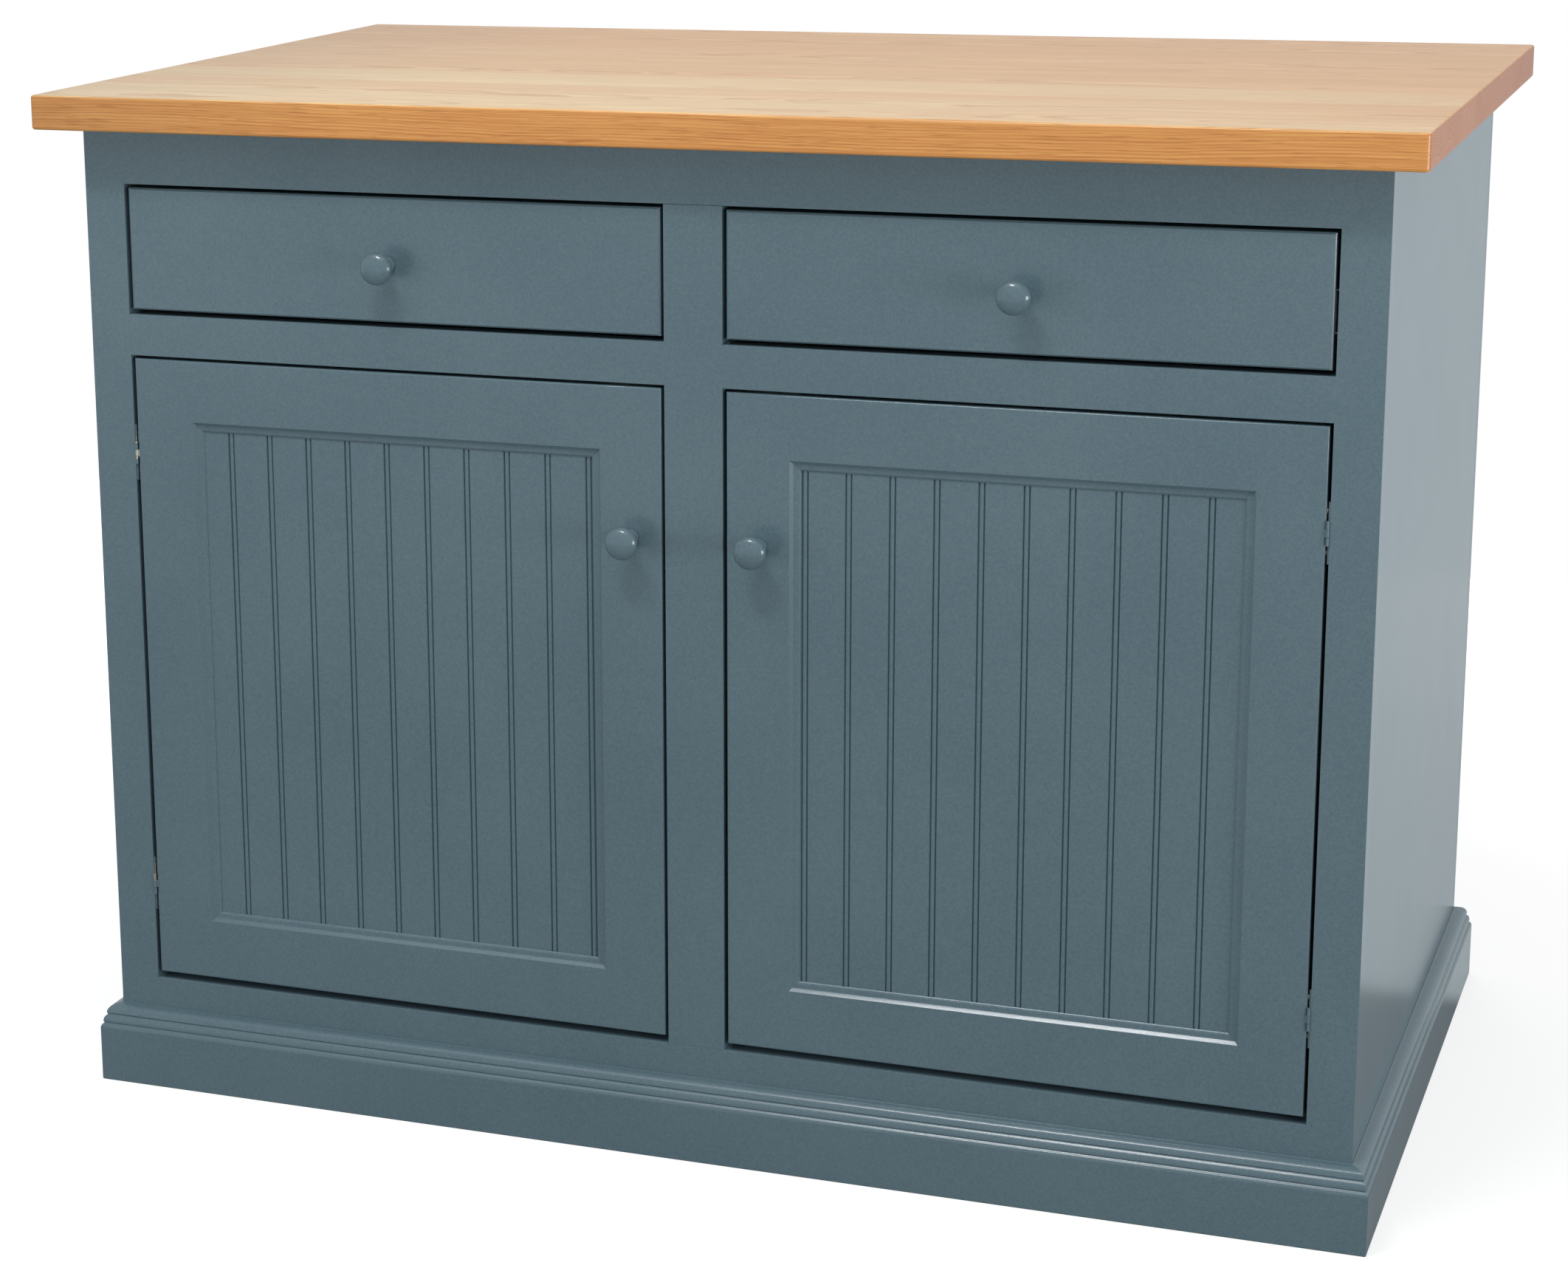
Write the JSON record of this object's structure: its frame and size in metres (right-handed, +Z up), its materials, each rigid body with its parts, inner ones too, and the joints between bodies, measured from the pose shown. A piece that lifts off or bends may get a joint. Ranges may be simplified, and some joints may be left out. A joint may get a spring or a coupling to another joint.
{
  "type": "kitchen island unit",
  "caption": "Free-standing painted kitchen island with inset drawers over inset beadboard doors, turned knobs, a solid wood worktop and a stepped base moulding.",
  "frame": {"origin": "on the floor under the middle of the worktop", "axes": "+X along the front from left to right as seen from the front, +Y from the front to the back, +Z up; the doors and drawers face -Y"},
  "size_m": [1.185, 0.737, 0.914],
  "materials": {
    "paint": "semi-gloss blue-grey paint on wood",
    "worktop": "clear satin varnish on solid hardwood",
    "plywood": "clear-finished birch plywood",
    "drawer_wood": "clear-finished birch plywood",
    "zinc_steel": "zinc plated",
    "nickel_steel": "nickel plated"
  },
  "bodies": {
    "cabinet": {"worktop": "worktop", "side_left": "paint", "side_right": "paint", "back_panel": "paint", "floor_panel": "plywood", "centre_divider": "plywood", "rear_top_rail": "plywood", "frame_top_rail": "paint", "frame_bottom_rail": "paint", "frame_centre_stile": "paint", "frame_left_stile": "paint", "frame_left_mid_rail": "paint", "frame_right_stile": "paint", "frame_right_mid_rail": "paint", "base_front": "paint", "base_right": "paint", "base_back": "paint", "base_left": "paint", "shelf_left": "plywood", "shelf_right": "plywood", "left_door_lower_hinge_frame_leaf": "nickel_steel", "left_door_upper_hinge_frame_leaf": "nickel_steel", "right_door_lower_hinge_frame_leaf": "nickel_steel", "right_door_upper_hinge_frame_leaf": "nickel_steel", "left_drawer_left_cabinet_runner": "zinc_steel", "left_drawer_right_cabinet_runner": "zinc_steel", "right_drawer_left_cabinet_runner": "zinc_steel", "right_drawer_right_cabinet_runner": "zinc_steel"},
    "left_door": {"left_door_hinge_stile": "paint", "left_door_lock_stile": "paint", "left_door_top_rail": "paint", "left_door_bottom_rail": "paint", "left_door_beadboard_panel": "paint", "left_door_knob": "paint", "left_door_lower_hinge_door_leaf": "nickel_steel", "left_door_upper_hinge_door_leaf": "nickel_steel"},
    "right_door": {"right_door_hinge_stile": "paint", "right_door_lock_stile": "paint", "right_door_top_rail": "paint", "right_door_bottom_rail": "paint", "right_door_beadboard_panel": "paint", "right_door_knob": "paint", "right_door_lower_hinge_door_leaf": "nickel_steel", "right_door_upper_hinge_door_leaf": "nickel_steel"},
    "left_drawer": {"left_drawer_front": "paint", "left_drawer_left_side": "drawer_wood", "left_drawer_right_side": "drawer_wood", "left_drawer_back": "drawer_wood", "left_drawer_bottom": "drawer_wood", "left_drawer_knob": "paint", "left_drawer_left_drawer_runner": "zinc_steel", "left_drawer_right_drawer_runner": "zinc_steel"},
    "right_drawer": {"right_drawer_front": "paint", "right_drawer_left_side": "drawer_wood", "right_drawer_right_side": "drawer_wood", "right_drawer_back": "drawer_wood", "right_drawer_bottom": "drawer_wood", "right_drawer_knob": "paint", "right_drawer_left_drawer_runner": "zinc_steel", "right_drawer_right_drawer_runner": "zinc_steel"}
  },
  "joints": [
    {"name": "left_door_swing", "type": "hinge", "parent": "cabinet", "child": "left_door", "pos_m": [-0.5225, -0.3315, 0.394], "axis": [0, 0, -1], "range_deg": [0, 105]},
    {"name": "right_door_swing", "type": "hinge", "parent": "cabinet", "child": "right_door", "pos_m": [0.5225, -0.3315, 0.394], "axis": [0, 0, 1], "range_deg": [0, 105]},
    {"name": "left_drawer_slide", "type": "slide", "parent": "cabinet", "child": "left_drawer", "axis": [0, -1, 0], "range_m": [0, 0.43]},
    {"name": "right_drawer_slide", "type": "slide", "parent": "cabinet", "child": "right_drawer", "axis": [0, -1, 0], "range_m": [0, 0.43]}
  ]
}
